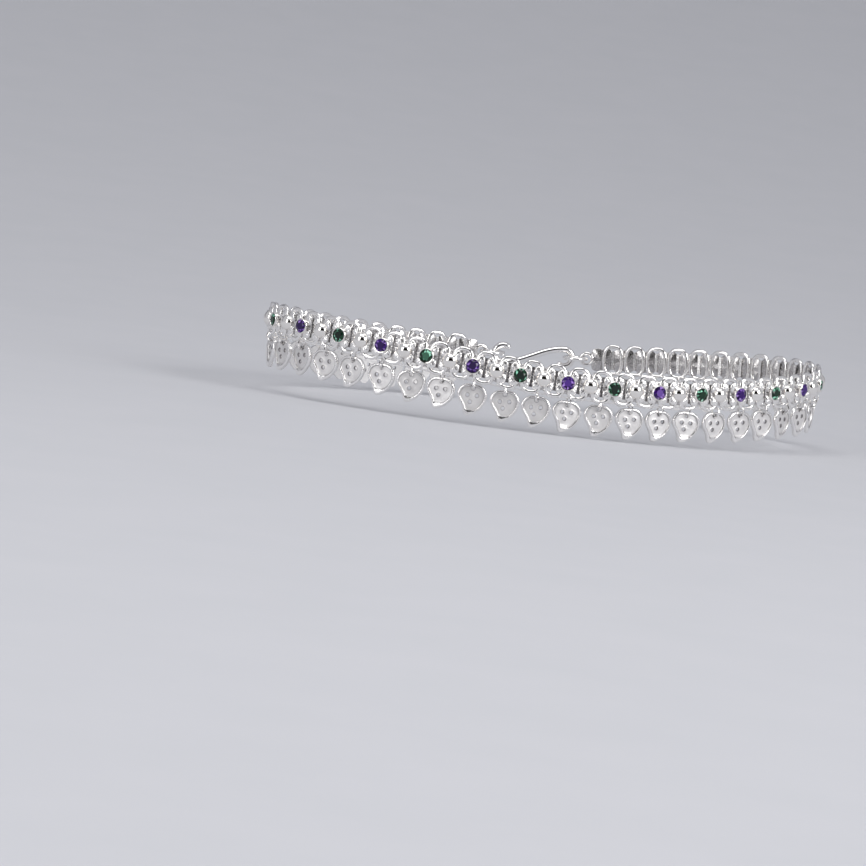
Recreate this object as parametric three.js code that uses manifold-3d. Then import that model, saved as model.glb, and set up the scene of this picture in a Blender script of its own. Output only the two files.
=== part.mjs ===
// A payal: a silver anklet worn round the ankle, about ten inches long when it is opened out.
//
// The band is a row of small square-lobed plates with hairline gaps between them. Each plate is
// soldered at its back to an upright that carries an upper and a lower rail, and carries a
// round setting on its face: polished domes, and claw-free bezels with purple or green stones
// in turn. The rows of four plates are joined into sections. Betel-leaf drops hang from the
// lower rail on their own jump rings, and an S-hook between two end rings closes the loop.
//
// Millimetres. The origin is the middle of the loop, +Z is up along the leg, +X points to the
// heel and -X to the toes, so the clasp sits on the +Y side.
import * as THREE from 'three';
import Module from 'manifold-3d';
import { mergeVertices } from 'three/addons/utils/BufferGeometryUtils.js';

const { Manifold, Mesh: ManifoldMesh } = await start();

// The loop as it sits on the ankle: an oval, a little square at the ends, whose sides droop.
const loopHalfLength = 49.0;
const loopHalfWidth = 30.0;
const endFlattening = 1.34;
const sideDroop = 1.74;
const sideTwist = 0.71;

// The band.
const linkPitch = 4.15;
const linkCount = 56;
const linksPerSection = 4;
const bandStartBeforeToes = 55.62; // arc length from the toe end back to the band's first link
const plateWidth = 3.88;
const plateHeight = 4.25;
const plateBack = 0.2;
const plateFront = 0.75;
const plateMiddle = (plateBack + plateFront) / 2;
const plateChamfer = 0.85;
const railOuter = 2.95;
const railInner = 2.65;
const railBack = -0.6;
const railFront = 0.1;
const railMiddle = (railBack + railFront) / 2;
const uprightWidth = 0.6;
const uprightBack = -0.45;
const uprightFront = -0.2;
const uprightSink = 0.15; // how far an upright goes into the rails it joins
const postHalfHeight = 0.6;
const postHalfWidth = 0.2;
const sectionGap = 0.3;

// The settings on the plates, each a turned profile: [radius, height above the plate's face].
const settingSides = 8;
const settingSink = 0.15;
const bezelProfile = [[1.4, 0.5], [0, 0.85]];
const domeProfile = [[1.42, 0.35], [1.0, 0.95], [0, 1.2]];

// The drops and their jump rings.
const dropCount = 40;
const dropPitch = 5.64;
const dropTop = -3.15;
const dropThickness = 0.6;
const dropCurveSteps = 3;
const jumpRingRadius = 0.98;
const jumpWireRadius = 0.16;
const jumpRingHeight = -3.2;
const jumpRingSteps = 8;
const jumpWireSides = 4;

// The closure.
const eyeRadius = 1.1;
const eyeWireRadius = 0.35;
const endRingRadius = 2.1;
const endRingWireRadius = 0.4;
const hookWireRadius = 0.6;
const hookLoopRadius = 1.6;
const hookLoopStart = THREE.MathUtils.degToRad(-60);
const hookSteps = 26;
const hookSectionSteps = 4;
const wireSides = 6;
const ringSteps = 16;

const silver = { color: 0xe9e9ec, metalness: 1 };
const bandMaterial = new THREE.MeshStandardMaterial({ ...silver, roughness: 0.25 });
const dropMaterial = new THREE.MeshStandardMaterial({ ...silver, roughness: 0.35 });
const claspMaterial = new THREE.MeshStandardMaterial({ ...silver, roughness: 0.2 });

async function start() {
  const wasm = await Module();
  wasm.setup();
  return wasm;
}

// A point of the loop. t is 0 at the heel and half a turn at the toes.
function loopPoint(t) {
  return new THREE.Vector3(
    loopHalfLength * Math.cos(t) + endFlattening * Math.cos(3 * t),
    loopHalfWidth * Math.sin(t),
    sideDroop * Math.cos(2 * t) + sideTwist * Math.sin(2 * t),
  );
}

// Arc lengths at even steps of t, for finding the point at a given length along the loop.
const tableSteps = 4096;
const arcTable = [0];
for (let i = 1; i <= tableSteps; i += 1) {
  const here = loopPoint((2 * Math.PI * i) / tableSteps);
  const before = loopPoint((2 * Math.PI * (i - 1)) / tableSteps);
  arcTable.push(arcTable[i - 1] + here.distanceTo(before));
}
const loopLength = arcTable[tableSteps];
const bandStart = loopLength / 2 - bandStartBeforeToes;

function parameterAt(length) {
  const wanted = THREE.MathUtils.euclideanModulo(length, loopLength);
  let low = 0;
  let high = tableSteps;
  while (high - low > 1) {
    const middle = (low + high) >> 1;
    if (arcTable[middle] > wanted) {
      high = middle;
    } else {
      low = middle;
    }
  }
  const share = (wanted - arcTable[low]) / (arcTable[high] - arcTable[low]);
  return (2 * Math.PI * (low + share)) / tableSteps;
}

// The local frame at a length along the band: x runs along the band, y up and z outwards.
function frameAt(length) {
  const t = parameterAt(bandStart + length);
  const step = 1e-3;
  const along = loopPoint(t + step).sub(loopPoint(t - step)).normalize();
  const outward = new THREE.Vector3().crossVectors(along, new THREE.Vector3(0, 0, 1)).normalize();
  const up = new THREE.Vector3().crossVectors(outward, along);
  return new THREE.Matrix4().makeBasis(along, up, outward).setPosition(loopPoint(t));
}

// The frame of something that hangs: as frameAt, but straight down however the band slopes.
function plumbFrameAt(length) {
  const sloped = frameAt(length);
  const up = new THREE.Vector3(0, 0, 1);
  const outward = new THREE.Vector3().setFromMatrixColumn(sloped, 2);
  const along = new THREE.Vector3().crossVectors(up, outward);
  const place = new THREE.Vector3().setFromMatrixPosition(sloped);
  return new THREE.Matrix4().makeBasis(along, up, outward).setPosition(place);
}

function solidOf(geometry) {
  const bare = geometry.index ? geometry.clone() : geometry;
  bare.deleteAttribute('normal');
  bare.deleteAttribute('uv');
  const merged = mergeVertices(bare, 1e-4);
  return new Manifold(new ManifoldMesh({
    numProp: 3,
    vertProperties: new Float32Array(merged.attributes.position.array),
    triVerts: new Uint32Array(merged.index.array),
  }));
}

function union(geometries) {
  return geometries.map(solidOf).reduce((whole, next) => whole.add(next));
}

function geometryOf(solid) {
  const mesh = solid.getMesh();
  const geometry = new THREE.BufferGeometry();
  geometry.setAttribute('position', new THREE.BufferAttribute(mesh.vertProperties, 3));
  geometry.setIndex(new THREE.BufferAttribute(mesh.triVerts, 1));
  return geometry;
}

function boxBetween(low, high) {
  const size = high.map((value, i) => value - low[i]);
  const middle = high.map((value, i) => (value + low[i]) / 2);
  return new THREE.BoxGeometry(...size).translate(...middle);
}

// A round wire bent into a ring about the z axis.
function wireRing(radius, wireRadius, steps, sides) {
  const profile = [];
  for (let i = 0; i <= sides; i += 1) {
    const angle = (2 * Math.PI * (i % sides)) / sides;
    profile.push(new THREE.Vector2(radius + wireRadius * Math.cos(angle), wireRadius * Math.sin(angle)));
  }
  return new THREE.LatheGeometry(profile, steps).rotateX(Math.PI / 2);
}

function plate() {
  const x = plateWidth / 2;
  const y = plateHeight / 2;
  const c = plateChamfer;
  const outline = new THREE.Shape([
    new THREE.Vector2(x, c - y),
    new THREE.Vector2(x, y - c),
    new THREE.Vector2(x - c, y),
    new THREE.Vector2(c - x, y),
    new THREE.Vector2(-x, y - c),
    new THREE.Vector2(-x, c - y),
    new THREE.Vector2(c - x, -y),
    new THREE.Vector2(x - c, -y),
  ]);
  const depth = plateFront - plateBack;
  return new THREE.ExtrudeGeometry(outline, { depth, bevelEnabled: false }).translate(0, 0, plateBack);
}

function setting(isDome) {
  const rows = isDome ? domeProfile : bezelProfile;
  const profile = [[0, -settingSink], [rows[0][0], -settingSink], ...rows];
  const points = profile.map(([radius, height]) => new THREE.Vector2(radius, height));
  return new THREE.LatheGeometry(points, settingSides).rotateX(Math.PI / 2).translate(0, 0, plateFront);
}

const dropLengths = [];
const firstDrop = (linkCount * linkPitch - (dropCount - 1) * dropPitch) / 2;
for (let i = 0; i < dropCount; i += 1) {
  dropLengths.push(firstDrop + i * dropPitch);
}

// An upright that would stand in a jump ring's way stops short of the lower rail.
function meetsJumpRing(length) {
  const room = uprightWidth / 2 + jumpWireRadius + sectionGap / 2;
  return dropLengths.some((drop) => Math.abs(drop - length) < room);
}

// Four plates with their settings and uprights, on a length of the two rails.
function bandSection(first) {
  const pieces = [];
  const halfUpright = uprightWidth / 2;
  for (let link = first; link < first + linksPerSection; link += 1) {
    const middle = (link + 0.5) * linkPitch;
    const frame = frameAt(middle);
    const placed = (geometry) => geometry.applyMatrix4(frame);
    pieces.push(placed(plate()));
    pieces.push(placed(setting(link % 2 === 1)));
    const top = railInner + uprightSink;
    const foot = meetsJumpRing(middle) ? -plateHeight / 3 : -top;
    pieces.push(placed(boxBetween([-halfUpright, foot, uprightBack], [halfUpright, top, uprightFront])));
    const postBack = (uprightBack + uprightFront) / 2;
    pieces.push(placed(boxBetween(
      [-postHalfWidth, -postHalfHeight, postBack],
      [postHalfWidth, postHalfHeight, plateMiddle],
    )));
  }
  const railStart = first * linkPitch + sectionGap / 2;
  const railEnd = (first + linksPerSection) * linkPitch - sectionGap / 2;
  for (const [low, high] of [[-railOuter, -railInner], [railInner, railOuter]]) {
    pieces.push(railSolid(railStart, railEnd, low, high));
  }
  return pieces;
}

// A rail of rectangular section that follows the loop between two lengths along the band.
function railSolid(start, end, low, high) {
  const steps = linksPerSection;
  const corners = [[low, railBack], [high, railBack], [high, railFront], [low, railFront]];
  const positions = [];
  for (let i = 0; i <= steps; i += 1) {
    const frame = frameAt(start + ((end - start) * i) / steps);
    for (const [y, z] of corners) {
      positions.push(...new THREE.Vector3(0, y, z).applyMatrix4(frame).toArray());
    }
  }
  const faces = [0, 2, 1, 0, 3, 2];
  for (let i = 0; i < steps; i += 1) {
    for (let side = 0; side < 4; side += 1) {
      const a = 4 * i + side;
      const b = 4 * i + ((side + 1) % 4);
      faces.push(a, b, a + 4, b, b + 4, a + 4);
    }
  }
  const last = 4 * steps;
  faces.push(last, last + 1, last + 2, last, last + 2, last + 3);
  const geometry = new THREE.BufferGeometry();
  geometry.setAttribute('position', new THREE.Float32BufferAttribute(positions, 3));
  geometry.setIndex(faces);
  return geometry;
}

// The eye at the end of the band that takes an end ring. side is -1 at the start and 1 at the end.
function endEye(side) {
  const reach = plateWidth / 2 + eyeRadius - eyeWireRadius / 2;
  const length = side < 0 ? linkPitch / 2 : (linkCount - 0.5) * linkPitch;
  return wireRing(eyeRadius, eyeWireRadius, ringSteps, wireSides)
    .translate(side * reach, 0, plateMiddle)
    .applyMatrix4(frameAt(length));
}

function leafOutline() {
  const leaf = new THREE.Shape();
  leaf.moveTo(0, -0.1);
  leaf.bezierCurveTo(-1.2, 0.2, -2.6, -0.4, -2.6, -2.0);
  leaf.bezierCurveTo(-2.6, -3.1, -1.4, -3.6, -1.25, -4.9);
  leaf.bezierCurveTo(-1.1, -5.6, -0.6, -5.76, -0.15, -5.6);
  leaf.bezierCurveTo(0.9, -5.15, 2.5, -4.0, 2.6, -2.2);
  leaf.bezierCurveTo(2.6, -0.5, 1.2, 0.2, 0, -0.1);
  return leaf;
}

// A leaf drop with its closed jump ring, which goes round the lower rail without touching it.
function drop(length) {
  const leaf = new THREE.ExtrudeGeometry(leafOutline(), {
    depth: dropThickness,
    bevelEnabled: false,
    curveSegments: dropCurveSteps,
  }).translate(0, dropTop, railMiddle - dropThickness / 2);
  const ring = wireRing(jumpRingRadius, jumpWireRadius, jumpRingSteps, jumpWireSides)
    .rotateZ(Math.PI / jumpRingSteps)
    .rotateY(Math.PI / 2)
    .translate(0, jumpRingHeight, railMiddle);
  return union([leaf, ring].map((geometry) => geometry.applyMatrix4(plumbFrameAt(length))));
}

// The middles of the two end rings and of the hook, as lengths along the band.
const eyeMiddle = linkPitch / 2 - plateWidth / 2 - eyeRadius + eyeWireRadius / 2;
const bandLength = linkCount * linkPitch;
const claspMiddle = (bandLength + loopLength) / 2;
const ringPlaces = [bandLength - eyeMiddle + endRingRadius, loopLength + eyeMiddle - endRingRadius];
const hookReach = (ringPlaces[1] - ringPlaces[0]) / 2 - endRingRadius;

function endRing(length) {
  return wireRing(endRingRadius, endRingWireRadius, ringSteps, wireSides)
    .rotateX(Math.PI / 2)
    .translate(0, 0, plateMiddle)
    .applyMatrix4(frameAt(length));
}

// The S-hook: a wire that turns round each end ring's wire and crosses over between them.
function claspHook() {
  const points = [];
  const turns = [
    { middle: -hookReach, from: hookLoopStart, sweep: -(1.5 * Math.PI + hookLoopStart) },
    { middle: hookReach, from: -Math.PI / 2, sweep: 1.5 * Math.PI + hookLoopStart },
  ];
  for (const { middle, from, sweep } of turns) {
    for (let i = 0; i <= 8; i += 1) {
      const angle = from + (sweep * i) / 8;
      points.push(new THREE.Vector3(
        middle + hookLoopRadius * Math.cos(angle),
        hookLoopRadius * Math.sin(angle),
        plateMiddle,
      ));
    }
  }
  const section = new THREE.Shape();
  section.absarc(0, 0, hookWireRadius, 0, 2 * Math.PI);
  return new THREE.ExtrudeGeometry(section, {
    extrudePath: new THREE.CatmullRomCurve3(points),
    steps: hookSteps,
    curveSegments: hookSectionSteps,
  }).applyMatrix4(frameAt(claspMiddle));
}

const payal = new THREE.Group();

function addPiece(name, geometry, material) {
  const mesh = new THREE.Mesh(geometry, material);
  mesh.name = name;
  payal.add(mesh);
}

function numbered(base, number) {
  return `${base}_${String(number).padStart(2, '0')}`;
}

for (let first = 0; first < linkCount; first += linksPerSection) {
  const pieces = bandSection(first);
  if (first === 0) {
    pieces.push(endEye(-1));
  }
  if (first + linksPerSection === linkCount) {
    pieces.push(endEye(1));
  }
  addPiece(numbered('band_section', first / linksPerSection + 1), geometryOf(union(pieces)), bandMaterial);
}

dropLengths.forEach((length, i) => {
  addPiece(numbered('leaf_drop', i + 1), geometryOf(drop(length)), dropMaterial);
});

addPiece('end_ring_1', endRing(ringPlaces[0]), claspMaterial);
addPiece('end_ring_2', endRing(ringPlaces[1]), claspMaterial);
addPiece('clasp_hook', claspHook(), claspMaterial);

export default payal;
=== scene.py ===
import math

import bpy
import numpy as np
from mathutils import Matrix, Vector
from mathutils.geometry import delaunay_2d_cdt


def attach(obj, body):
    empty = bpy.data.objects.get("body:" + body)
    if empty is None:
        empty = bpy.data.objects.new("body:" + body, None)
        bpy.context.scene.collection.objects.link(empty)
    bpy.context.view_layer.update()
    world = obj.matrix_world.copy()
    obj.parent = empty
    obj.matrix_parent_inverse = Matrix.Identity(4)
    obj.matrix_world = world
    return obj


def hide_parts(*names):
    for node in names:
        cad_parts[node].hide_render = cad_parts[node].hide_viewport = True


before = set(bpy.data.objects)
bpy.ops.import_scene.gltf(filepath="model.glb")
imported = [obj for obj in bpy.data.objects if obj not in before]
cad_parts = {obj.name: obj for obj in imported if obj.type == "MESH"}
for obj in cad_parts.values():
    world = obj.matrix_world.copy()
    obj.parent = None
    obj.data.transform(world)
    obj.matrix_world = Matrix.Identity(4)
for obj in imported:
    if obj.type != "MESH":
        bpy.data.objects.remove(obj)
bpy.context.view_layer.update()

# ---------------------------------------------------------------------------
# The plates
# Fifty-six small stamped silver plates, each a square with four round lobes at its corners and
# rays struck from its middle. They sit edge to edge round the ankle, a hair apart.
# ---------------------------------------------------------------------------

MM = 0.001
LINK_PITCH = 4.15
LINK_COUNT = 56
BAND_START_BEFORE_TOES = 55.62


def loop_point(turn):
    """The middle line of the anklet in mm, an oval whose ends are a little flat and whose
    sides droop: x and y go with the cosine and sine of the turn, x takes a small cosine of three
    times the turn, and z goes with the cosine and sine of twice the turn."""
    x = 49.0 * np.cos(turn) + 1.34 * np.cos(3 * turn)
    y = 30.0 * np.sin(turn)
    z = 1.74 * np.cos(2 * turn) + 0.71 * np.sin(2 * turn)
    return np.stack([x, y, z], axis=-1)


loop_turns = np.linspace(0, 2 * np.pi, 4097)
loop_steps = np.linalg.norm(np.diff(loop_point(loop_turns), axis=0), axis=1)
loop_lengths = np.concatenate([[0.0], np.cumsum(loop_steps)])
band_start = loop_lengths[-1] / 2 - BAND_START_BEFORE_TOES


def unit(vectors):
    """Each vector divided by its own length."""
    return vectors / np.linalg.norm(vectors, axis=-1, keepdims=True)


def band_frames(lengths, plumb=False):
    """Places along the band: each one's point on the loop and its three axes as rows, along the
    band, up, and out from the ankle. Plumb ones hang straight down however the band slopes."""
    turns = np.interp((band_start + lengths) % loop_lengths[-1], loop_lengths, loop_turns)
    along = unit(loop_point(turns + 1e-3) - loop_point(turns - 1e-3))
    down_the_leg = np.broadcast_to([0.0, 0.0, 1.0], along.shape)
    outward = unit(np.cross(along, down_the_leg))
    up = down_the_leg if plumb else np.cross(outward, along)
    along = np.cross(up, outward)
    return loop_point(turns), np.stack([along, up, outward], axis=1)


def repeated(points, faces, origins, axes):
    """One shape copied to every frame: its points times the frame's axes plus its origin, and its
    faces counted on from copy to copy."""
    placed = origins[:, None, :] + points @ axes
    shifts = len(points) * np.arange(len(origins))
    copied = [[corner + shift for corner in face] for shift in shifts for face in faces]
    return placed.reshape(-1, 3), copied


def new_piece(name, points, faces, material, sharp_degrees=40, smooth=True):
    """A mesh object at the origin from points in mm and faces as lists of corners."""
    mesh = bpy.data.meshes.new(name)
    mesh.from_pydata((points * MM).tolist(), [], faces)
    mesh.update()
    mesh.polygons.foreach_set("use_smooth", [smooth] * len(faces))
    if smooth:
        mesh.set_sharp_from_angle(angle=math.radians(sharp_degrees))
    mesh.materials.append(material)
    piece = bpy.data.objects.new(name, mesh)
    bpy.context.scene.collection.objects.link(piece)
    return piece


def write_attribute(piece, name, values):
    """One number for each vertex, for the material to read."""
    layer = piece.data.attributes.new(name, "FLOAT", "POINT")
    layer.data.foreach_set("value", np.ascontiguousarray(values, dtype=np.float32))


def ring_grid(rows, around, closed_rows=False):
    """Quads between rows of points that each close into a ring."""
    faces = []
    for row in range(rows if closed_rows else rows - 1):
        low = row * around
        high = ((row + 1) % rows) * around
        for step in range(around):
            after = (step + 1) % around
            faces.append([low + step, low + after, high + after, high + step])
    return faces


def srgb(code, alpha=1.0):
    """A linear colour from an sRGB hex code."""
    levels = np.array([int(code[i:i + 2], 16) for i in (1, 3, 5)]) / 255
    linear = np.where(levels <= 0.04045, levels / 12.92, ((levels + 0.055) / 1.055) ** 2.4)
    return (*linear.tolist(), alpha)


def add_node(tree, kind, settings=None, **inputs):
    """One node with its settings and its inputs, each a value or the socket that feeds it."""
    node = tree.nodes.new(kind)
    for key, value in (settings or {}).items():
        setattr(node, key, value)
    for key, value in inputs.items():
        socket = node.inputs[int(key[1:]) if key[1:].isdigit() else key.replace("_", " ")]
        if isinstance(value, bpy.types.NodeSocket):
            tree.links.new(value, socket)
        else:
            socket.default_value = value
    return node


def pattern_scale(millimetres):
    """The noise scale, in repeats a metre, of a pattern whose grains are this far apart."""
    return 1 / (millimetres * MM)


def new_material(name):
    """An empty node material, with its tree and its output node."""
    material = bpy.data.materials.new(name)
    material.use_nodes = True
    material.node_tree.nodes.clear()
    output = material.node_tree.nodes.new("ShaderNodeOutputMaterial")
    return material, material.node_tree, output


# Stamped sterling silver, bright from the die: warm white, with a fine struck grain that breaks
# up its shine. Painted shade, broken up by the grain, darkens the flat ground between the rays and
# lobes and the plates' backs.
PLATE_HALF_WIDTH = 1.98
PLATE_HALF_HEIGHT = 2.16
PLATE_BACK = 0.2
PLATE_FACE = 0.42
EDGE_ROLL = 0.16
LOBE_MIDDLE = (1.1, 1.25)
LOBE_RADII = (0.88, 0.93)
LOBE_RISE = 0.36
NOTCH_DEPTH = 0.1
RAY_COUNT = 24
RAY_RISE = 0.035
plate_steps = 96
plate_shares = np.array([0.38, 0.5, 0.6, 0.68, 0.75, 0.81, 0.87, 0.92, 0.965, 1.0])


def plate_outline(angles):
    """How far the plate's edge is from its middle at each angle: a square with rounded corners,
    where the fifth powers of the two shares of its half sizes add up to one, and a shallow notch
    at the middle of its top and bottom."""
    across = np.abs(np.cos(angles) / PLATE_HALF_WIDTH)
    upward = np.abs(np.sin(angles) / PLATE_HALF_HEIGHT)
    body = (across ** 5 + upward ** 5) ** (-1 / 5)
    return body * (1 - NOTCH_DEPTH * np.exp(-(np.cos(angles) / 0.15) ** 2))


def plate_rise(x, y, share, angles):
    """The height of the plate's face, and of its lobes alone: a flat ground, a pillow-shaped half
    dome on each corner cut with fine rays, and an edge that rolls over."""
    across = (np.abs(x) - LOBE_MIDDLE[0]) / LOBE_RADII[0]
    upward = (np.abs(y) - LOBE_MIDDLE[1]) / LOBE_RADII[1]
    lobe = LOBE_RISE * np.sqrt(np.clip(1 - across ** 2 - upward ** 2, 0, 1))
    rays = RAY_RISE * np.cos(RAY_COUNT * angles) * np.clip(3 * share - 1.2, 0, 1)
    rolled = EDGE_ROLL * np.clip((share - 0.9) / 0.1, 0, 1) ** 2
    return PLATE_FACE + lobe + rays - rolled, lobe


plate_angles = 2 * np.pi * np.arange(plate_steps) / plate_steps
plate_reach = plate_outline(plate_angles)
plate_rows = []
# Painted shade for each point: none on the lobes, full on the flat ground and on the edge and back rows.
plate_painted_shade = []
for share in plate_shares:
    row_x = share * plate_reach * np.cos(plate_angles)
    row_y = share * plate_reach * np.sin(plate_angles)
    row_z, row_lobe = plate_rise(row_x, row_y, share, plate_angles)
    plate_rows.append(np.stack([row_x, row_y, row_z], axis=1))
    plate_painted_shade.append(np.clip(1 - row_lobe / (0.6 * LOBE_RISE), 0, 1))
for share, height in ((1.0, PLATE_BACK + 0.05), (0.97, PLATE_BACK)):
    row = share * plate_reach[:, None] * np.stack([np.cos(plate_angles), np.sin(plate_angles)], axis=1)
    plate_rows.append(np.column_stack([row, np.full(plate_steps, height)]))
    plate_painted_shade.append(np.ones(plate_steps))
plate_points = np.concatenate(plate_rows + [np.array([[0, 0, PLATE_FACE], [0, 0, PLATE_BACK]])])
plate_painted_shade = np.concatenate(plate_painted_shade + [np.ones(2)])
plate_faces = [face[::-1] for face in ring_grid(len(plate_rows), plate_steps)]
front_middle = len(plate_rows) * plate_steps
last_row = front_middle - plate_steps
for step in range(plate_steps):
    after = (step + 1) % plate_steps
    plate_faces.append([front_middle, step, after])
    plate_faces.append([front_middle + 1, last_row + after, last_row + step])

plate_silver, tree, output = new_material("stamped_silver")
place = add_node(tree, "ShaderNodeTexCoord")
# Painted shade: the mask times the grain mixes the silver towards dark grey.
painted_shade = add_node(tree, "ShaderNodeAttribute", {"attribute_name": "painted_shade"})
grain = add_node(tree, "ShaderNodeTexNoise", Vector=place.outputs["Object"], Scale=pattern_scale(0.25), Detail=2.0)
grainy_painted_shade = add_node(tree, "ShaderNodeMath", {"operation": "MULTIPLY"}, _0=painted_shade.outputs["Fac"], _1=grain.outputs["Fac"])
tone = add_node(
    tree, "ShaderNodeMix", {"data_type": "RGBA"},
    Factor=grainy_painted_shade.outputs[0], _6=srgb("#F8F6F4"), _7=srgb("#6A6667"),
)
gloss = add_node(tree, "ShaderNodeMapRange", Value=grain.outputs["Fac"], To_Min=0.14, To_Max=0.36)
struck = add_node(tree, "ShaderNodeBump", Strength=0.75, Distance=0.00005, Height=grain.outputs["Fac"])
surface = add_node(
    tree, "ShaderNodeBsdfPrincipled",
    Base_Color=tone.outputs[2], Metallic=1.0, Roughness=gloss.outputs[0], Normal=struck.outputs[0],
)
tree.links.new(surface.outputs[0], output.inputs[0])

link_lengths = (np.arange(LINK_COUNT) + 0.5) * LINK_PITCH
link_origins, link_axes = band_frames(link_lengths)
points, faces = repeated(plate_points, plate_faces, link_origins, link_axes)

# Behind each gap a narrow hinge strip joins two plates. Its front is painted dark as shade, so the
# gap reads as a line, and its back carries only a little painted shade.
STRIP_HALF_WIDTH = 0.26
STRIP_HALF_HEIGHT = 1.75
STRIP_DEPTHS = (0.06, 0.24)
STRIP_PAINTED_SHADE = (0.3, 1.7)
strip_points = np.array([
    (x, y, z) for z in STRIP_DEPTHS
    for x, y in ((-1, -1), (1, -1), (1, 1), (-1, 1))
]) * (STRIP_HALF_WIDTH, STRIP_HALF_HEIGHT, 1)
strip_faces = [[3, 2, 1, 0], [4, 5, 6, 7], [0, 1, 5, 4], [1, 2, 6, 5], [2, 3, 7, 6], [3, 0, 4, 7]]
strip_count = LINK_COUNT - 1
strip_frames = band_frames((np.arange(strip_count) + 1.0) * LINK_PITCH)
more_points, more_faces = repeated(strip_points, strip_faces, *strip_frames)
faces += [[corner + len(points) for corner in face] for face in more_faces]
points = np.concatenate([points, more_points])
plates = new_piece("plates", points, faces, plate_silver)
# Painted shade for the strips: heavy on their fronts, light on their backs.
strip_painted_shade = np.tile(np.repeat(STRIP_PAINTED_SHADE, 4), strip_count)
write_attribute(plates, "painted_shade", np.concatenate([np.tile(plate_painted_shade, LINK_COUNT), strip_painted_shade]))
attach(plates, "root")
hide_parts(*[f"band_section_{number:02d}" for number in range(1, 15)])

# ---------------------------------------------------------------------------
# The hoops
# Oval hoops of round silver wire, each from the middle of one plate to the middle of the next.
# Two hoops lie side by side under each setting and are soldered to the plate there.
# ---------------------------------------------------------------------------

HOOP_HALF_WIDTH = 1.68
HOOP_HALF_HEIGHT = 2.6
HOOP_SQUARENESS = 3.0
HOOP_WIRE = 0.37
HOOP_DEPTH = 0.28
hoop_steps = 36
wire_steps = 10


def even_steps(path, count):
    """Points at even lengths along a closed path."""
    closed = np.concatenate([path, path[:1]])
    lengths = np.concatenate([[0], np.cumsum(np.linalg.norm(np.diff(closed, axis=0), axis=1))])
    wanted = lengths[-1] * np.arange(count) / count
    return np.stack([np.interp(wanted, lengths, closed[:, i]) for i in range(path.shape[1])], axis=1)


def closed_wire(path, radii, around):
    """A wire round a flat closed path: rings of points square to the path, an ellipse with one
    radius in the path's plane and one across it."""
    ahead = unit(np.roll(path, -1, axis=0) - np.roll(path, 1, axis=0))
    flat = unit(np.cross(ahead, unit(np.cross(path[0] - path.mean(axis=0), ahead[0]))))
    across = np.cross(flat, ahead)
    angles = 2 * np.pi * np.arange(around) / around
    rings = (
        path[:, None]
        + radii[0] * np.cos(angles)[None, :, None] * flat[:, None]
        + radii[1] * np.sin(angles)[None, :, None] * across[:, None]
    )
    faces = [face[::-1] for face in ring_grid(len(path), around, closed_rows=True)]
    return rings.reshape(-1, 3), faces


dense = np.linspace(0, 2 * np.pi, 720, endpoint=False)
power = 2 / HOOP_SQUARENESS
hoop_oval = np.stack([
    HOOP_HALF_WIDTH * np.sign(np.cos(dense)) * np.abs(np.cos(dense)) ** power,
    HOOP_HALF_HEIGHT * np.sign(np.sin(dense)) * np.abs(np.sin(dense)) ** power,
    np.full(dense.shape, HOOP_DEPTH),
], axis=1)
hoop_points, hoop_faces = closed_wire(even_steps(hoop_oval, hoop_steps), (HOOP_WIRE, 0.9 * HOOP_WIRE), wire_steps)

# Drawn silver wire, polished: almost a mirror, with faint lines along the draw.
wire_silver, tree, output = new_material("polished_wire_silver")
place = add_node(tree, "ShaderNodeTexCoord")
wear = add_node(tree, "ShaderNodeTexNoise", Vector=place.outputs["Object"], Scale=pattern_scale(1.1), Detail=2.0)
gloss = add_node(tree, "ShaderNodeMapRange", Value=wear.outputs["Fac"], To_Min=0.06, To_Max=0.2)
dents = add_node(tree, "ShaderNodeBump", Strength=0.25, Distance=0.00003, Height=wear.outputs["Fac"])
surface = add_node(
    tree, "ShaderNodeBsdfPrincipled",
    Base_Color=srgb("#FAF8F6"), Metallic=1.0, Roughness=gloss.outputs[0], Normal=dents.outputs[0],
)
tree.links.new(surface.outputs[0], output.inputs[0])

hoop_origins, hoop_axes = band_frames((np.arange(LINK_COUNT - 1) + 1.0) * LINK_PITCH)
points, faces = repeated(hoop_points, hoop_faces, hoop_origins, hoop_axes)

# One fine wire runs the length of the band behind the hoops' lower edge, soldered to each hoop.
# The drops hang from it.
CARRIER_WIRE = 0.15
CARRIER_PLACE = (-2.62, -0.1)
CARRIER_END = 0.6
carrier_steps = 240
carrier_around = 6
carrier_lengths = np.linspace(CARRIER_END, LINK_COUNT * LINK_PITCH - CARRIER_END, carrier_steps)
carrier_origins, carrier_axes = band_frames(carrier_lengths)
carrier_angles = 2 * np.pi * np.arange(carrier_around) / carrier_around
carrier_circle = np.stack([
    np.zeros(carrier_around),
    CARRIER_PLACE[0] + CARRIER_WIRE * np.cos(carrier_angles),
    CARRIER_PLACE[1] + CARRIER_WIRE * np.sin(carrier_angles),
], axis=1)
carrier_points = (carrier_origins[:, None] + carrier_circle @ carrier_axes).reshape(-1, 3)
carrier_faces = ring_grid(carrier_steps, carrier_around)
carrier_faces.append(list(range(carrier_around))[::-1])
carrier_faces.append([len(carrier_points) - carrier_around + step for step in range(carrier_around)])
faces += [[corner + len(points) for corner in face] for face in carrier_faces]
points = np.concatenate([points, carrier_points])
hoops = new_piece("hoops", points, faces, wire_silver)
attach(hoops, "root")
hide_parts(*[f"band_section_{number:02d}" for number in range(1, 15)])

# ---------------------------------------------------------------------------
# The domes
# Every other plate carries a plain polished silver dome, domed in a block and soldered on.
# ---------------------------------------------------------------------------

DOME_RADIUS = 1.42
DOME_HEIGHT = 1.15
turned_steps = 32


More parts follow.
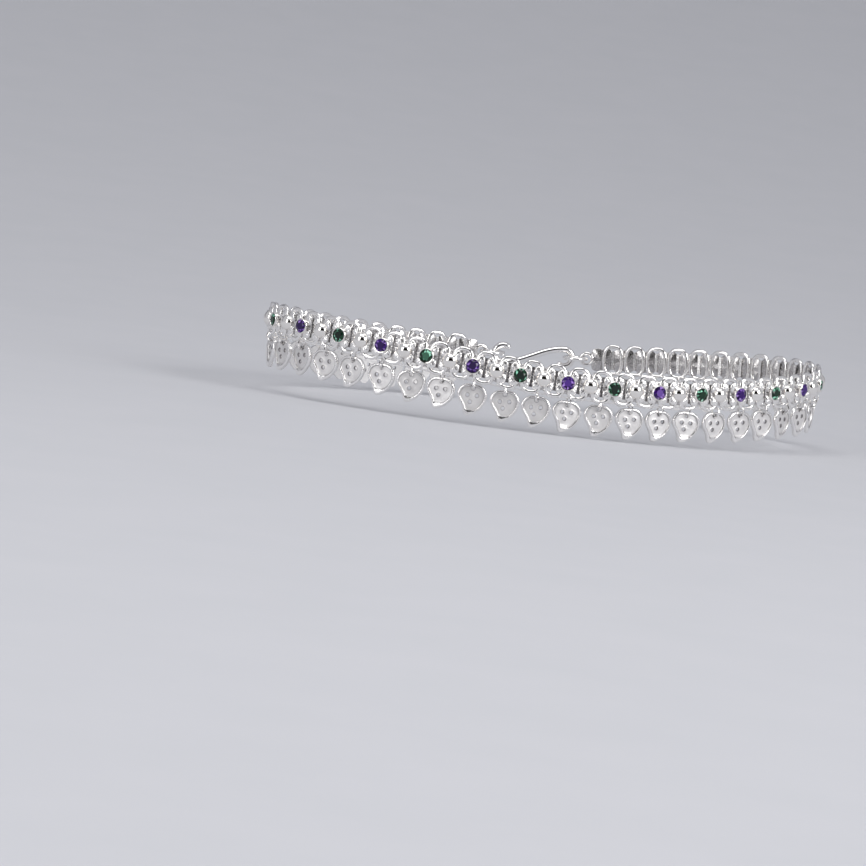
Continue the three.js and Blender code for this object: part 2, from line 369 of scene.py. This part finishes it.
def turned(profile, around):
    """A shape turned about the outward axis from rows of radius and height, closed at both ends by
    a point on the axis."""
    angles = 2 * np.pi * np.arange(around) / around
    circle = np.stack([np.cos(angles), np.sin(angles), np.zeros(around)], axis=1)
    rows = [radius * circle + [0, 0, height] for radius, height in profile]
    points = np.concatenate(rows + [np.array([[0, 0, profile[0][1]], [0, 0, profile[-1][1]]])])
    faces = ring_grid(len(rows), around)
    first, last = len(rows) * around, len(rows) * around + 1
    top_row = (len(rows) - 1) * around
    for step in range(around):
        after = (step + 1) % around
        faces.append([first, after, step])
        faces.append([last, top_row + step, top_row + after])
    return points, faces


dome_turn = np.linspace(0, np.pi / 2, 10)[:-1]
dome_profile = [(DOME_RADIUS, PLATE_FACE - 0.1), (DOME_RADIUS, PLATE_FACE + 0.12)]
dome_profile += [
    (DOME_RADIUS * math.cos(turn), PLATE_FACE + 0.12 + DOME_HEIGHT * math.sin(turn))
    for turn in dome_turn[1:]
]
dome_profile += [(0.02, PLATE_FACE + 0.12 + DOME_HEIGHT)]
dome_points, dome_faces = turned(dome_profile, turned_steps)

# Buffed silver: a mirror with a few soft pits.
dome_silver, tree, output = new_material("buffed_silver")
place = add_node(tree, "ShaderNodeTexCoord")
wear = add_node(tree, "ShaderNodeTexNoise", Vector=place.outputs["Object"], Scale=pattern_scale(1.4), Detail=3.0)
gloss = add_node(tree, "ShaderNodeMapRange", Value=wear.outputs["Fac"], To_Min=0.03, To_Max=0.13)
surface = add_node(
    tree, "ShaderNodeBsdfPrincipled",
    Base_Color=srgb("#FBF8F4"), Metallic=1.0, Roughness=gloss.outputs[0],
)
tree.links.new(surface.outputs[0], output.inputs[0])

points, faces = repeated(dome_points, dome_faces, link_origins[1::2], link_axes[1::2])
domes = new_piece("domes", points, faces, dome_silver)
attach(domes, "root")
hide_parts(*[f"band_section_{number:02d}" for number in range(1, 15)])

# ---------------------------------------------------------------------------
# The bezels
# The plates between carry a short tube of silver whose lip is rubbed over a round stone.
# ---------------------------------------------------------------------------

bezel_profile = [
    (1.4, PLATE_FACE - 0.1), (1.4, 0.7), (1.4, 1.08), (1.36, 1.2), (1.28, 1.26),
    (1.19, 1.25), (1.12, 1.16), (1.1, 0.95), (0.5, 0.9),
]
bezel_points, bezel_faces = turned(bezel_profile, turned_steps)
points, faces = repeated(bezel_points, bezel_faces, link_origins[::2], link_axes[::2])
bezels = new_piece("bezels", points, faces, dome_silver)
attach(bezels, "root")
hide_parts(*[f"band_section_{number:02d}" for number in range(1, 15)])

# ---------------------------------------------------------------------------
# The stones
# Round machine-cut glass stones, 2.3 mm across, with a flat table and a faceted crown. Purple and
# green ones take turns round the band. The record has no slot for glass, so they name none.
# ---------------------------------------------------------------------------

STONE_RADIUS = 1.16
TABLE_RADIUS = 0.66
GIRDLE_HEIGHT = 1.02
TABLE_HEIGHT = 1.38


def cut_stone():
    """A crown of flat facets: a table of eight corners, eight star corners between them further out
    and lower, and sixteen corners on the girdle, closed flat below."""
    eighths = 2 * np.pi * np.arange(8) / 8
    sixteenths = 2 * np.pi * np.arange(16) / 16
    table = [(TABLE_RADIUS * math.cos(a), TABLE_RADIUS * math.sin(a), TABLE_HEIGHT) for a in eighths]
    star_radius = 0.5 * (TABLE_RADIUS + STONE_RADIUS) + 0.02
    star_height = 0.45 * TABLE_HEIGHT + 0.55 * GIRDLE_HEIGHT + 0.03
    stars = [
        (star_radius * math.cos(a + math.pi / 8), star_radius * math.sin(a + math.pi / 8), star_height)
        for a in eighths
    ]
    girdle = [(STONE_RADIUS * math.cos(a), STONE_RADIUS * math.sin(a), GIRDLE_HEIGHT) for a in sixteenths]
    faces = [list(range(8)), list(range(31, 15, -1))]
    for i in range(8):
        after = (i + 1) % 8
        star = 8 + i
        corner, corner_after = 16 + 2 * i, 16 + 2 * i + 1
        next_corner = 16 + (2 * i + 2) % 16
        faces.append([i, star, after])
        faces.append([i, corner, star])
        faces.append([star, corner, corner_after])
        faces.append([star, corner_after, next_corner])
        faces.append([star, next_corner, after])
    return np.array(table + stars + girdle), faces


def stone_material(name, deep, body, painted_glint):
    """Cut glass stone, sharply polished: its facets are painted at random with light and shade, a deep
    body colour, a livelier one and, here and there, a pale painted glint for light thrown back from below."""
    material, tree, output = new_material(name)
    painted_facet_light = add_node(tree, "ShaderNodeAttribute", {"attribute_name": "painted_facet_light"})
    ramp = add_node(tree, "ShaderNodeValToRGB", _0=painted_facet_light.outputs["Fac"])
    stops = ramp.color_ramp.elements
    stops[0].position, stops[0].color = 0.0, srgb(deep)
    stops[1].position, stops[1].color = 1.0, srgb(painted_glint)
    middle = stops.new(0.55)
    middle.color = srgb(body)
    surface = add_node(
        tree, "ShaderNodeBsdfPrincipled",
        Base_Color=ramp.outputs[0], Roughness=0.04, IOR=1.47,
    )
    tree.links.new(surface.outputs[0], output.inputs[0])
    return material


stone_points, stone_faces = cut_stone()
stone_kinds = {
    "purple_stones": (0, stone_material("purple_cut_glass", "#160030", "#3A0678", "#C49AF8")),
    "green_stones": (2, stone_material("green_cut_glass", "#00170D", "#044024", "#A5F0D0")),
}
luck = np.random.default_rng(7)
for name, (first, material) in stone_kinds.items():
    points, faces = repeated(stone_points, stone_faces, link_origins[first::4], link_axes[first::4])
    stones = new_piece(name, points, faces, material, smooth=False)
    # Painted facet light: each facet takes a random tone from deep shade to a pale glint.
    tones = luck.random(len(faces)) ** 1.7
    layer = stones.data.attributes.new("painted_facet_light", "FLOAT", "FACE")
    layer.data.foreach_set("value", tones.astype(np.float32))
    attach(stones, "root")
    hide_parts(*[f"band_section_{number:02d}" for number in range(1, 15)])

# ---------------------------------------------------------------------------
# The leaf drops
# Forty cast silver betel leaves with a bright raised rim, a matt sunk face pierced by three holes,
# and a blunt tip that leans to one side.
# ---------------------------------------------------------------------------

DROP_COUNT = 40
DROP_PITCH = 5.64
DROP_TOP = -3.15
DROP_DEPTH = -0.25
LEAF_RIM = 0.46
LEAF_FLOOR = 0.08
LEAF_FRONT = 0.36
TIP_LINE = -4.55
TIP_EASE = 0.35
LEAF_BACK = -0.28
HANGING_HOLE = (0.0, -0.78, 0.36)
PIERCED_HOLES = ((-0.82, -2.05, 0.33), (0.84, -1.98, 0.33), (-0.23, -3.2, 0.33))
leaf_steps = 72
leaf_insets = (0.0, 0.05, 0.13, 0.23, 0.34, LEAF_RIM, LEAF_RIM + 0.1)

leaf_bends = np.array([
    [(0, -0.1), (-1.2, 0.2), (-2.6, -0.4), (-2.6, -2.0)],
    [(-2.6, -2.0), (-2.6, -3.1), (-1.4, -3.6), (-1.25, -4.9)],
    [(-1.25, -4.9), (-1.1, -5.6), (-0.6, -5.76), (-0.15, -5.6)],
    [(-0.15, -5.6), (0.9, -5.15), (2.5, -4.0), (2.6, -2.2)],
    [(2.6, -2.2), (2.6, -0.5), (1.2, 0.2), (0, -0.1)],
])


def bend_points(bends, count):
    """Points along cubic Bezier bends, each the four control points weighed by the cubic terms."""
    s = np.linspace(0, 1, count, endpoint=False)[None, :, None]
    a, b, c, d = (bends[:, None, i] for i in range(4))
    curve = a * (1 - s) ** 3 + 3 * b * s * (1 - s) ** 2 + 3 * c * s ** 2 * (1 - s) + d * s ** 3
    return curve.reshape(-1, 2)


def circle_points(x, y, radius, count):
    """Points round a circle."""
    angles = 2 * np.pi * np.arange(count) / count
    return np.stack([x + radius * np.cos(angles), y + radius * np.sin(angles)], axis=1)


leaf_edge = even_steps(bend_points(leaf_bends, 60), leaf_steps)
leaf_ahead = np.roll(leaf_edge, -1, axis=0) - np.roll(leaf_edge, 1, axis=0)
leaf_inward = unit(np.stack([-leaf_ahead[:, 1], leaf_ahead[:, 0]], axis=1))


def inside_leaf(spots):
    """Which spots lie inside the leaf's edge, by counting the edges that a line to the right
    crosses."""
    x, y = spots[:, 0, None], spots[:, 1, None]
    ax, ay = leaf_edge[:, 0], leaf_edge[:, 1]
    bx, by = np.roll(ax, -1), np.roll(ay, -1)
    crosses = ((ay > y) != (by > y)) & (x < (bx - ax) * (y - ay) / (by - ay + 1e-12) + ax)
    return crosses.sum(axis=1) % 2 == 1


def from_edge(spots):
    """How far each spot is from the leaf's edge."""
    a = leaf_edge[None]
    ab = np.roll(leaf_edge, -1, axis=0)[None] - a
    share = np.clip(((spots[:, None] - a) * ab).sum(-1) / (ab ** 2).sum(-1), 0, 1)
    return np.linalg.norm(spots[:, None] - a - share[..., None] * ab, axis=-1).min(axis=1)


def from_hole(spots, hole):
    """How far each spot is from a hole's edge, less than nothing inside it."""
    return np.linalg.norm(spots - np.array(hole[:2]), axis=1) - hole[2]


def leaf_sink(spots):
    """How far the face is sunk, from nothing on the rim and the tip to one on the floor: it eases
    in over a tenth of a millimetre past the rim, and over the line where the tip begins."""
    past_rim = np.clip((from_edge(spots) - LEAF_RIM + 0.02) / 0.12, 0, 1)
    past_tip = np.clip((spots[:, 1] - TIP_LINE) / TIP_EASE + 0.5, 0, 1)
    return past_rim * past_tip * past_tip * (3 - 2 * past_tip)


def leaf_rise(spots):
    """The height of the leaf's face: a rim whose outer edge is round as a quarter circle, the
    sunk floor, and a low raised lip round each pierced hole."""
    rounded = np.sqrt(np.clip(1 - (1 - np.clip(from_edge(spots) / 0.3, 0, 1)) ** 2, 0, 1))
    rim = LEAF_FLOOR + (LEAF_FRONT - LEAF_FLOOR) * (0.15 + 0.85 * rounded)
    floor = np.full(len(spots), LEAF_FLOOR)
    for hole in PIERCED_HOLES:
        floor = np.maximum(floor, LEAF_FLOOR + 0.07 * np.exp(-(from_hole(spots, hole) / 0.12) ** 2))
    sink = leaf_sink(spots)
    return rim + (floor - rim) * sink


def leaf_mesh():
    """One leaf as a closed shell: its face is a net of triangles between the edge, rings inside the
    edge, the rings round each hole and a grid, lifted by leaf_rise; its back is the same net, flat;
    and walls join the two along the edge and through the holes."""
    holes = PIERCED_HOLES + (HANGING_HOLE,)
    rings = [leaf_edge + inset * leaf_inward for inset in leaf_insets]
    grid = np.stack(np.meshgrid(np.arange(-2.5, 2.6, 0.27), np.arange(-5.5, 0.2, 0.27)), axis=-1).reshape(-1, 2)
    room = inside_leaf(grid) & (from_edge(grid) > LEAF_RIM + 0.22)
    for hole in holes:
        room &= from_hole(grid, hole) > 0.22
    hole_rings = [circle_points(*hole, 14) for hole in holes]
    collars = [circle_points(hole[0], hole[1], hole[2] + 0.1, 14) for hole in holes]
    spots = np.concatenate(rings + hole_rings + collars + [grid[room]])
    edges = []
    start = 0
    for ring in rings + hole_rings:
        edges += [(start + i, start + (i + 1) % len(ring)) for i in range(len(ring))]
        start += len(ring)
    flat = [Vector(spot) for spot in spots.tolist()]
    net, _, triangles, *_ = delaunay_2d_cdt(flat, edges, [], 0, 1e-6)
    net = np.array([tuple(spot) for spot in net])
    triangles = np.array(triangles)
    middles = net[triangles].mean(axis=1)
    keep = inside_leaf(middles)
    for hole in holes:
        keep &= np.linalg.norm(middles - np.array(hole[:2]), axis=1) > hole[2] * math.cos(math.pi / 14)
    used, triangles = np.unique(triangles[keep], return_inverse=True)
    net, triangles = net[used], triangles.reshape(-1, 3)
    turns = np.cross(
        net[triangles[:, 1]] - net[triangles[:, 0]],
        net[triangles[:, 2]] - net[triangles[:, 0]],
    )
    triangles[turns < 0] = triangles[turns < 0][:, ::-1]
    sides = np.concatenate([triangles[:, [0, 1]], triangles[:, [1, 2]], triangles[:, [2, 0]]])
    pairs = {tuple(side) for side in sides.tolist()}
    rims = [side for side in pairs if (side[1], side[0]) not in pairs]
    count = len(net)
    face = triangles.tolist()
    back = (triangles[:, ::-1] + count).tolist()
    walls = [[a + count, b + count, b, a] for a, b in sorted(rims)]
    lifted = np.column_stack([net, leaf_rise(net)])
    flat_back = np.column_stack([net, np.full(count, LEAF_BACK)])
    sunk = leaf_sink(net)
    nearest_hole = np.min([np.abs(from_hole(net, hole)) for hole in holes], axis=0)
    # Painted shade: a dark line where the face sinks from the rim to the floor, and a dark ring round the edge of
    # each hole.
    painted_crease_shade = np.maximum(4 * sunk * (1 - sunk), np.clip(1 - nearest_hole / 0.1, 0, 1))
    tones = [np.concatenate([sunk, np.full(count, 0.5)]), np.concatenate([painted_crease_shade, np.zeros(count)])]
    return np.concatenate([lifted, flat_back]), face + back + walls, tones


leaf_points, leaf_faces, (leaf_sunk, leaf_painted_crease_shade) = leaf_mesh()
first_drop = (LINK_COUNT * LINK_PITCH - (DROP_COUNT - 1) * DROP_PITCH) / 2
drop_lengths = first_drop + DROP_PITCH * np.arange(DROP_COUNT)
drop_origins, drop_axes = band_frames(drop_lengths, plumb=True)
drop_number = np.arange(DROP_COUNT)
drop_turns = np.radians(7.0 * np.sin(2.4 * drop_number + 0.6))
drop_swings = np.radians(3.0 * np.sin(1.7 * drop_number + 2.0))


def turned_frames(axes, turns, swings):
    """Frames turned about their upright and then swung about their outward axis."""
    zero, one = np.zeros_like(turns), np.ones_like(turns)
    about_up = np.stack([
        np.stack([np.cos(turns), zero, np.sin(turns)], axis=1),
        np.stack([zero, one, zero], axis=1),
        np.stack([-np.sin(turns), zero, np.cos(turns)], axis=1),
    ], axis=1)
    about_out = np.stack([
        np.stack([np.cos(swings), np.sin(swings), zero], axis=1),
        np.stack([-np.sin(swings), np.cos(swings), zero], axis=1),
        np.stack([zero, zero, one], axis=1),
    ], axis=1)
    return about_out @ about_up @ axes


leaf_axes = turned_frames(drop_axes, drop_turns, drop_swings)
leaf_places = drop_origins + np.einsum("ni,nij->nj", np.tile([0.0, DROP_TOP, DROP_DEPTH], (DROP_COUNT, 1)), drop_axes)

# Cast silver: the rim is polished, and the sunk face keeps the matt skin of the mould, a fine
# grain a twentieth of a millimetre across, a little darker than the rim.
leaf_silver, tree, output = new_material("cast_silver")
place = add_node(tree, "ShaderNodeTexCoord")
sunk = add_node(tree, "ShaderNodeAttribute", {"attribute_name": "sunk"})
skin = add_node(tree, "ShaderNodeTexNoise", Vector=place.outputs["Object"], Scale=pattern_scale(0.3), Detail=2.0)
cloud = add_node(tree, "ShaderNodeTexNoise", Vector=place.outputs["Object"], Scale=pattern_scale(2.0), Detail=2.0)
shade = add_node(tree, "ShaderNodeMath", {"operation": "MULTIPLY"}, _0=sunk.outputs["Fac"], _1=cloud.outputs["Fac"])
tone = add_node(
    tree, "ShaderNodeMix", {"data_type": "RGBA"},
    Factor=shade.outputs[0], _6=srgb("#FCFAF8"), _7=srgb("#CCC9C9"),
)
# Painted shade: this mask mixes the face towards dark grey along the rim's inner edge and round the holes.
painted_crease_shade = add_node(tree, "ShaderNodeAttribute", {"attribute_name": "painted_crease_shade"})
shaded_tone = add_node(
    tree, "ShaderNodeMix", {"data_type": "RGBA"},
    Factor=painted_crease_shade.outputs["Fac"], _6=tone.outputs[2], _7=srgb("#575353"),
)
gloss = add_node(tree, "ShaderNodeMapRange", Value=sunk.outputs["Fac"], To_Min=0.18, To_Max=0.42)
frost = add_node(tree, "ShaderNodeMapRange", Value=sunk.outputs["Fac"], To_Min=1.0, To_Max=0.6)
rough = add_node(tree, "ShaderNodeBump", Strength=0.8, Distance=0.00005, Height=skin.outputs["Fac"])
surface = add_node(
    tree, "ShaderNodeBsdfPrincipled",
    Base_Color=shaded_tone.outputs[2], Metallic=frost.outputs[0], Roughness=gloss.outputs[0],
    Normal=rough.outputs[0],
)
tree.links.new(surface.outputs[0], output.inputs[0])

points, faces = repeated(leaf_points, leaf_faces, leaf_places, leaf_axes)
leaf_drops = new_piece("leaf_drops", points, faces, leaf_silver, sharp_degrees=50)
write_attribute(leaf_drops, "sunk", np.tile(leaf_sunk, DROP_COUNT))
write_attribute(leaf_drops, "painted_crease_shade", np.tile(leaf_painted_crease_shade, DROP_COUNT))
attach(leaf_drops, "root")
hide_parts(*[f"leaf_drop_{number:02d}" for number in range(1, DROP_COUNT + 1)])

# ---------------------------------------------------------------------------
# The jump rings
# Small rings of fine silver wire, closed and soldered, each through a leaf's top hole and round the
# wire behind the hoops' lower edge. A ring turns twice as far as its leaf does.
# ---------------------------------------------------------------------------

JUMP_WIRE = 0.17
JUMP_HALF_DEPTH = 0.86
JUMP_HALF_HEIGHT = 0.86
JUMP_MIDDLE = (0.0, -3.2, 0.0)
jump_turn = np.linspace(0, 2 * np.pi, 24, endpoint=False)
jump_oval = np.stack([
    np.zeros(24),
    JUMP_HALF_HEIGHT * np.cos(jump_turn),
    JUMP_HALF_DEPTH * np.sin(jump_turn),
], axis=1)
jump_points, jump_faces = closed_wire(jump_oval, (JUMP_WIRE, JUMP_WIRE), 8)
jump_axes = turned_frames(drop_axes, 2 * drop_turns, 0 * drop_turns)
jump_places = drop_origins + np.einsum("ni,nij->nj", np.tile(JUMP_MIDDLE, (DROP_COUNT, 1)), drop_axes)
points, faces = repeated(jump_points, jump_faces, jump_places, jump_axes)
jump_rings = new_piece("jump_rings", points, faces, wire_silver)
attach(jump_rings, "root")
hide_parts(*[f"leaf_drop_{number:02d}" for number in range(1, DROP_COUNT + 1)])

# ---------------------------------------------------------------------------
# The clasp
# A plain S-hook of stouter wire between two end rings, each of which runs through an eye soldered
# to the band's last plate.
# ---------------------------------------------------------------------------

EYE_RADIUS = 1.1
EYE_WIRE = 0.35
END_RING_RADIUS = 2.1
END_RING_WIRE = 0.4
HOOK_WIRE = 0.6
HOOK_LOOP = 1.6
HOOK_LOOP_START = math.radians(-60)
CLASP_DEPTH = 0.475
band_length = LINK_COUNT * LINK_PITCH
eye_reach = PLATE_HALF_WIDTH + EYE_RADIUS - EYE_WIRE / 2
eye_middle = LINK_PITCH / 2 - eye_reach


def circle_path(radius, flat_axis):
    """A closed circle about one of the three local axes."""
    angles = np.linspace(0, 2 * np.pi, 40, endpoint=False)
    columns = [radius * np.cos(angles), radius * np.sin(angles)]
    columns.insert(flat_axis, np.zeros(40))
    return np.stack(columns, axis=1)


clasp_parts = []
eye_points, eye_faces = closed_wire(circle_path(EYE_RADIUS, 2), (EYE_WIRE, EYE_WIRE), 12)
for link, side in ((0, -1), (LINK_COUNT - 1, 1)):
    shifted = eye_points + [side * eye_reach, 0, CLASP_DEPTH]
    clasp_parts.append((f"end_eye_{1 if side < 0 else 2}", shifted, eye_faces, link_lengths[link], "band"))
ring_points, ring_faces = closed_wire(circle_path(END_RING_RADIUS, 1), (END_RING_WIRE, END_RING_WIRE), 12)
ring_points = ring_points + [0, 0, CLASP_DEPTH]
ring_places = (band_length - eye_middle + END_RING_RADIUS, loop_lengths[-1] + eye_middle - END_RING_RADIUS)
hook_reach = (ring_places[1] - ring_places[0]) / 2 - END_RING_RADIUS


def open_wire(path, radius, around):
    """A wire along an open path in a plane that faces outwards, with a rounded end at each side."""
    ahead = unit(np.gradient(path, axis=0))
    across = np.broadcast_to([0.0, 0.0, 1.0], ahead.shape)
    flat = np.cross(across, ahead)
    angles = 2 * np.pi * np.arange(around) / around
    sizes = np.full(len(path), radius)
    steps = np.linspace(0.15, 1, 5)
    caps = radius * np.sqrt(1 - (1 - steps) ** 2)
    nose = [path[0] - ahead[0] * radius * (1 - s) for s in steps[:-1]]
    tail = [path[-1] + ahead[-1] * radius * (1 - s) for s in steps[:-1][::-1]]
    path = np.concatenate([nose, path, tail])
    sizes = np.concatenate([caps[:-1], sizes, caps[:-1][::-1]])
    flat = np.concatenate([np.repeat(flat[:1], 4, axis=0), flat, np.repeat(flat[-1:], 4, axis=0)])
    circle = np.cos(angles)[None, :, None] * flat[:, None] + np.sin(angles)[None, :, None] * np.array([0, 0, 1.0])
    rings = path[:, None] + sizes[:, None, None] * circle
    points = rings.reshape(-1, 3)
    faces = ring_grid(len(path), around)
    faces.append(list(range(around))[::-1])
    faces.append([len(points) - around + i for i in range(around)])
    return points, faces


sweep = 1.5 * math.pi + HOOK_LOOP_START
first_turn = HOOK_LOOP_START - sweep * np.linspace(0, 1, 24)
second_turn = -math.pi / 2 + sweep * np.linspace(0, 1, 24)
first_loop = np.stack([HOOK_LOOP * np.cos(first_turn) - hook_reach, HOOK_LOOP * np.sin(first_turn)], axis=1)
second_loop = np.stack([HOOK_LOOP * np.cos(second_turn) + hook_reach, HOOK_LOOP * np.sin(second_turn)], axis=1)
ease = np.linspace(0, 1, 18)[1:-1, None]
lift = (1 + np.cos(math.pi * ease)) / 2
between = np.concatenate([
    first_loop[-1:, :1] + ease * (second_loop[:1, :1] - first_loop[-1:, :1]),
    second_loop[:1, 1:] + lift * (first_loop[-1:, 1:] - second_loop[:1, 1:]),
], axis=1)
hook_path = np.concatenate([first_loop, between, second_loop])
hook_path = np.column_stack([hook_path, np.full(len(hook_path), CLASP_DEPTH)])
hook_points, hook_faces = open_wire(hook_path, HOOK_WIRE, 14)

clasp_parts.append(("end_ring_wire_1", ring_points, ring_faces, ring_places[0], "end_ring_1"))
clasp_parts.append(("end_ring_wire_2", ring_points, ring_faces, ring_places[1], "end_ring_2"))
clasp_parts.append(("s_hook", hook_points, hook_faces, (band_length + loop_lengths[-1]) / 2, "clasp_hook"))
for name, local_points, local_faces, length, node in clasp_parts:
    origins, axes = band_frames(np.array([length]))
    points, faces = repeated(local_points, local_faces, origins, axes)
    part = new_piece(name, points, faces, wire_silver)
    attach(part, "root")
    if node == "band":
        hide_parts("band_section_01" if name.endswith("1") else "band_section_14")
    else:
        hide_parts(node)

# ---------------------------------------------------------------------------
# The studio
# A pale paper sweep under and behind the anklet, soft boxes at the right, above and at the left,
# and a dim room behind the camera for the bright metal to reflect.
# ---------------------------------------------------------------------------

paper, tree, output = new_material("pale_paper")
place = add_node(tree, "ShaderNodeTexCoord")
fibre = add_node(tree, "ShaderNodeTexNoise", Vector=place.outputs["Object"], Scale=pattern_scale(16.0), Detail=4.0)
tone = add_node(
    tree, "ShaderNodeMix", {"data_type": "RGBA"},
    Factor=fibre.outputs["Fac"], _6=srgb("#C8C9CD"), _7=srgb("#CDCDD1"),
)
surface = add_node(tree, "ShaderNodeBsdfPrincipled", Base_Color=tone.outputs[2], Roughness=0.9)
tree.links.new(surface.outputs[0], output.inputs[0])

FLOOR_HEIGHT = -11.2
SWEEP_START = 60.0
SWEEP_RADIUS = 2200.0
sweep_turn = np.linspace(0, math.pi / 2, 40)
sweep_rows = [(-1500.0, FLOOR_HEIGHT)] + [
    (SWEEP_START + SWEEP_RADIUS * math.sin(turn), FLOOR_HEIGHT + SWEEP_RADIUS * (1 - math.cos(turn)))
    for turn in sweep_turn
]
sweep_points = np.array([(side * 3000.0, y, z) for y, z in sweep_rows for side in (-1, 1)])
sweep_faces = [[2 * i, 2 * i + 1, 2 * i + 3, 2 * i + 2] for i in range(len(sweep_rows) - 1)]
backdrop = new_piece("backdrop", sweep_points, sweep_faces, paper)


def soft_box(name, place, size, power):
    """A rectangular lamp that faces the anklet."""
    lamp = bpy.data.lights.new(name, "AREA")
    lamp.shape = "RECTANGLE"
    lamp.size, lamp.size_y = size
    lamp.energy = power
    holder = bpy.data.objects.new(name, lamp)
    holder.location = place
    holder.rotation_euler = Vector(place).to_track_quat("Z", "Y").to_euler()
    bpy.context.scene.collection.objects.link(holder)


soft_box("right_soft_box", (0.62, -0.72, 0.42), (0.42, 0.5), 4.6)
soft_box("top_soft_box", (-0.1, -0.3, 0.95), (0.8, 0.45), 3.2)
soft_box("left_soft_box", (-0.72, -0.7, 0.3), (0.35, 0.6), 2.0)

# The room is pale all round, and darker where the camera and its stand are.
world = bpy.data.worlds.new("room")
world.use_nodes = True
tree = world.node_tree
where = add_node(tree, "ShaderNodeTexCoord")
toward = add_node(
    tree, "ShaderNodeVectorMath", {"operation": "DOT_PRODUCT"},
    _0=where.outputs["Generated"], _1=(-0.14, -0.98, 0.09),
)
dark = add_node(tree, "ShaderNodeMapRange", Value=toward.outputs["Value"], From_Min=0.76, From_Max=0.9)
room = add_node(
    tree, "ShaderNodeMix", {"data_type": "RGBA"},
    Factor=dark.outputs[0], _6=srgb("#CDCED4"), _7=srgb("#1E1A17"),
)
tree.links.new(room.outputs[2], tree.nodes["Background"].inputs["Color"])
tree.nodes["Background"].inputs["Strength"].default_value = 0.78
bpy.context.scene.world = world
bpy.context.scene.view_settings.view_transform = "Standard"

CAMERA_DISTANCE = 700.0
CAMERA_AZIMUTH = math.radians(-8.34)
CAMERA_ELEVATION = math.radians(5.0)
CAMERA_ROLL = math.radians(7.01)
CAMERA_ASIDE = (-20.43, -13.51)
back = Vector((
    math.sin(CAMERA_AZIMUTH) * math.cos(CAMERA_ELEVATION),
    -math.cos(CAMERA_AZIMUTH) * math.cos(CAMERA_ELEVATION),
    math.sin(CAMERA_ELEVATION),
))
level = Vector((math.cos(CAMERA_AZIMUTH), math.sin(CAMERA_AZIMUTH), 0))
upright = back.cross(level)
right = level * math.cos(CAMERA_ROLL) + upright * math.sin(CAMERA_ROLL)
up = upright * math.cos(CAMERA_ROLL) - level * math.sin(CAMERA_ROLL)
camera = bpy.data.objects.new("camera", bpy.data.cameras.new("camera"))
camera.data.sensor_width = 36.0
camera.data.lens = 159.8
camera.data.clip_start = 0.01
stand = (back * CAMERA_DISTANCE + right * CAMERA_ASIDE[0] + up * CAMERA_ASIDE[1]) * MM
turned_view = Matrix((right, up, back)).transposed().to_4x4()
camera.matrix_world = Matrix.Translation(stand) @ turned_view
bpy.context.scene.collection.objects.link(camera)
bpy.context.scene.camera = camera
